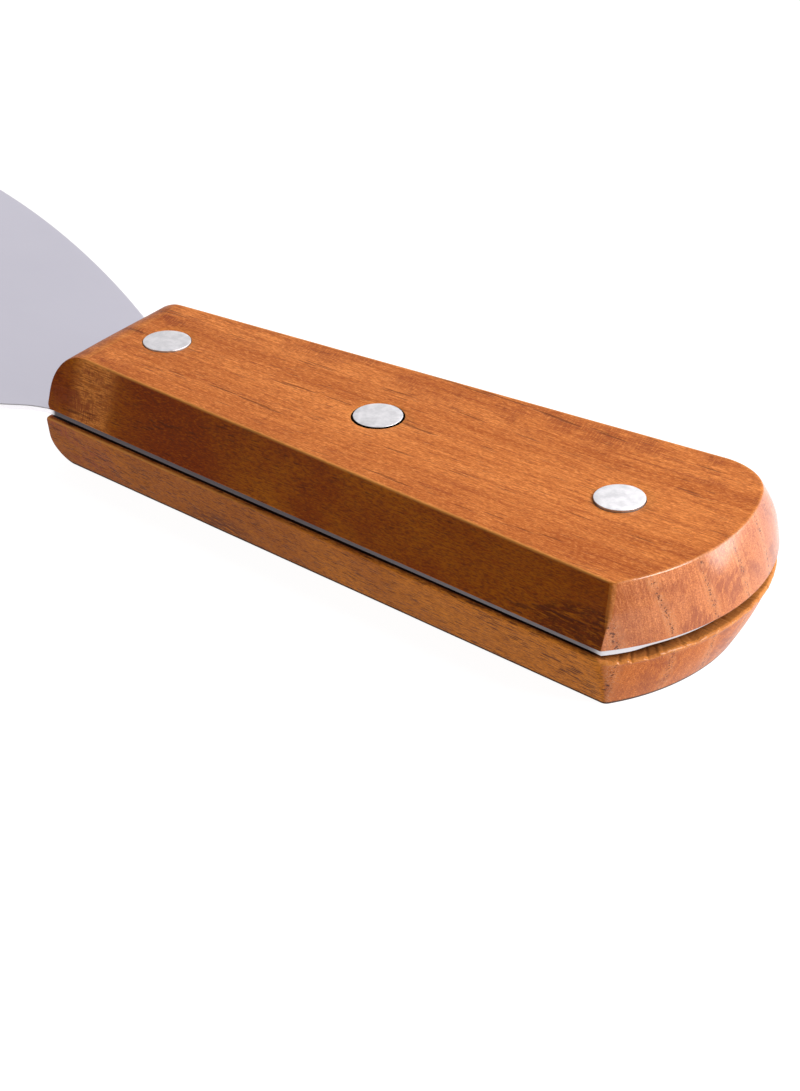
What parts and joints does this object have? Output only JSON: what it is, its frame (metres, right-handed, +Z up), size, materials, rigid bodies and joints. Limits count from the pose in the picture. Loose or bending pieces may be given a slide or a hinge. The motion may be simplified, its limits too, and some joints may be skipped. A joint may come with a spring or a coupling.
{
  "type": "palette knife",
  "caption": "Wide flat-bladed palette or filling knife: a flared steel blade with a full tang between riveted wooden handle scales.",
  "frame": {"origin": "middle of the knife's length and width, on the surface that the handle's underside rests on", "axes": "+X from the blade's edge to the handle's butt, +Y across the width, +Z up, square to the flat of the blade"},
  "size_m": [0.216, 0.1002, 0.0218],
  "materials": {
    "blade_steel": "fine satin, ground along the blade",
    "handle_wood": "clear lacquer, semi-gloss",
    "rivet_metal": "satin, lightly mottled"
  },
  "bodies": {
    "root": {"blade": "blade_steel", "upper_scale": "handle_wood", "lower_scale": "handle_wood", "front_rivet_pin": "rivet_metal", "middle_rivet_pin": "rivet_metal", "rear_rivet_pin": "rivet_metal", "front_rivet_tube": "rivet_metal", "middle_rivet_tube": "rivet_metal", "rear_rivet_tube": "rivet_metal"}
  },
  "joints": []
}
